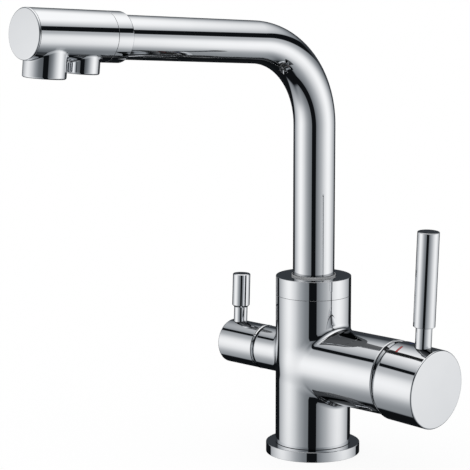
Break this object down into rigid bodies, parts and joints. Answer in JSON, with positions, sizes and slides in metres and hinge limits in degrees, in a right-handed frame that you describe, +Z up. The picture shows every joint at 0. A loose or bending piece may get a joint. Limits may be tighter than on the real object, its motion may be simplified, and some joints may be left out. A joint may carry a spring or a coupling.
{
  "type": "three way filtered water tap",
  "caption": "Deck kitchen tap: swivel spout with separate mixed-water and filtered-water outlets, a joystick mixer lever on one side and a quarter-turn filter valve on the other.",
  "frame": {"origin": "centre of the base flange's underside, on the body's axis, at the deck's surface", "axes": "+Z up along the body; +X out along the mixer branch; -X out along the filter branch; the spout reaches forward to -Y, swung 6.1 degrees towards -X"},
  "size_m": [0.1836, 0.2698, 0.3168],
  "materials": {
    "chrome_trim": "mirror-polished chrome plate on brass",
    "raw_brass": "turned, unplated",
    "stainless_steel": "turned, fine grain",
    "seal_rubber": "moulded, matte",
    "white_plastic": "moulded, satin",
    "grey_plastic": "moulded, satin",
    "valve_ceramic": null,
    "red_enamel": "enamel fill",
    "blue_enamel": "enamel fill"
  },
  "bodies": {
    "tap_base": {"base_flange": "chrome_trim", "base_seal": "seal_rubber", "tap_body": "chrome_trim", "collar_nut": "chrome_trim", "swivel_bush": "grey_plastic", "slip_ring": "white_plastic", "filter_tube_o_ring": "seal_rubber", "mixer_port_seal": "seal_rubber", "mixer_cartridge_base": "white_plastic", "mixer_fixed_disc": "valve_ceramic", "mixer_cartridge_housing": "white_plastic", "mixer_cartridge_nut": "raw_brass", "mixer_dome_ring": "chrome_trim", "filter_valve_seal": "seal_rubber", "filter_valve_body": "raw_brass", "filter_fixed_disc": "valve_ceramic", "filter_trim_ring": "chrome_trim"},
    "spout": {"spout_foot": "raw_brass", "spout_o_ring_lower": "seal_rubber", "spout_o_ring_upper": "seal_rubber", "spout_tube": "chrome_trim", "filter_water_tube": "white_plastic", "head_collar": "chrome_trim", "spout_head": "chrome_trim", "head_end_plug": "chrome_trim", "filter_outlet_core": "raw_brass", "filter_outlet_seal": "seal_rubber", "filter_flow_insert": "white_plastic", "main_aerator_seal": "seal_rubber", "main_aerator_housing": "grey_plastic", "main_aerator_screen": "stainless_steel"},
    "mixer_turn": {"mixer_rotor": "grey_plastic", "mixer_pivot_pin": "stainless_steel"},
    "mixer_handle": {"mixer_stem": "stainless_steel", "mixer_cap": "chrome_trim", "mixer_lever": "chrome_trim", "mixer_set_screw": "stainless_steel", "hot_mark": "red_enamel", "cold_mark": "blue_enamel"},
    "mixer_slide": {"mixer_disc_carrier": "white_plastic", "mixer_moving_disc": "valve_ceramic"},
    "filter_handle": {"filter_spindle": "raw_brass", "filter_moving_disc": "valve_ceramic", "filter_cap": "chrome_trim", "filter_lever": "chrome_trim", "filter_set_screw": "stainless_steel"}
  },
  "joints": [
    {"name": "spout_swivel", "type": "hinge", "parent": "tap_base", "child": "spout", "pos_m": [0, 0, 0.12], "axis": [0, 0, 1], "continuous": true},
    {"name": "mixer_temperature", "type": "hinge", "parent": "tap_base", "child": "mixer_turn", "pos_m": [0.05, 0, 0.0628], "axis": [1, 0, 0], "range_deg": [-45, 45]},
    {"name": "mixer_lift", "type": "hinge", "parent": "mixer_turn", "child": "mixer_handle", "pos_m": [0.05, 0, 0.0628], "axis": [0, 1, 0], "range_deg": [0, 20]},
    {"name": "mixer_disc_slide", "type": "slide", "parent": "mixer_turn", "child": "mixer_slide", "axis": [0, 0, 1], "range_m": [0, 0.0031]},
    {"name": "filter_turn", "type": "hinge", "parent": "tap_base", "child": "filter_handle", "pos_m": [-0.05, 0, 0.0658], "axis": [1, 0, 0], "range_deg": [0, 90]}
  ],
  "couplings": [
    {"joint": "mixer_disc_slide", "follows": "mixer_lift", "m_per_rad": 0.00855}
  ]
}
